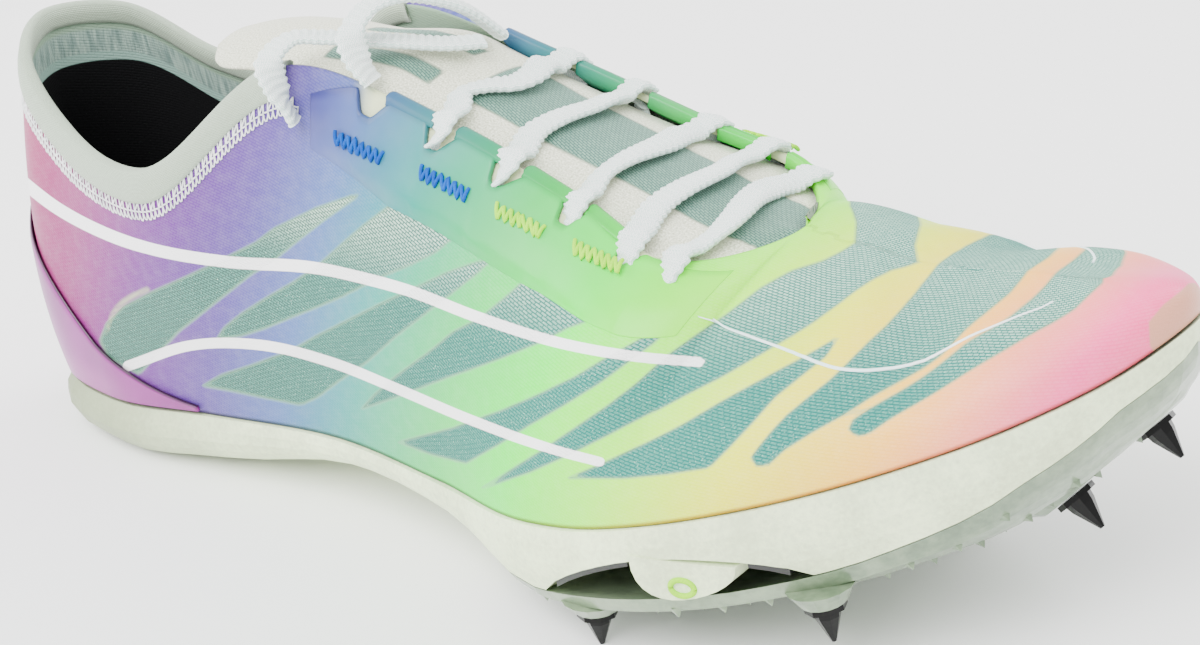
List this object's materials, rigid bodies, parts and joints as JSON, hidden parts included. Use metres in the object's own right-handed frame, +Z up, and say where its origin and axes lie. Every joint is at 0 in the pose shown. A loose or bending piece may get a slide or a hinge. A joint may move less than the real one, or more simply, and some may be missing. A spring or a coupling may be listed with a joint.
{
  "type": "track spike shoe",
  "caption": "Low-cut running shoe for the track: thin meshed upper, laced throat, foam sole with a side window and a forefoot plate on steel pins.",
  "frame": {"origin": "middle of the heel's flat spot, on the floor that the shoe stands on", "axes": "+X from heel to toe, +Y towards the inner side of the right foot, +Z up"},
  "size_m": [0.2873, 0.0976, 0.1139],
  "materials": {
    "upper_mesh": "fine grey-green woven mesh with coloured film over it",
    "white_knit": "soft off-white knit",
    "heel_film": "satin magenta film",
    "upper_film": "satin translucent film, blended from blue to green",
    "black_lining": "black textile over thin foam",
    "white_foam": "moulded off-white foam with a soft sheen",
    "carbon": "black fibre laminate",
    "clear_plate": "translucent greenish-white moulded plate",
    "dark_steel": "dark plated steel",
    "white_lace": "flat braided white lace"
  },
  "bodies": {
    "root": {"upper": "upper_mesh", "collar_band": "white_knit", "heel_wrap": "heel_film", "eyestay_outer": "upper_film", "eyestay_inner": "upper_film", "tongue": "white_knit", "insole": "black_lining", "midsole": "white_foam", "carbon_plate": "carbon", "outsole_plate": "clear_plate", "spike_rear_outer": "dark_steel", "spike_rear_inner": "dark_steel", "spike_mid_outer": "dark_steel", "spike_mid_inner": "dark_steel", "spike_front_outer": "dark_steel", "spike_front_inner": "dark_steel", "lace_bar_1": "white_lace", "lace_bar_2": "white_lace", "lace_bar_3": "white_lace", "lace_bar_4": "white_lace", "lace_bar_5": "white_lace", "lace_loop": "white_lace", "lace_end": "white_lace"}
  },
  "joints": []
}
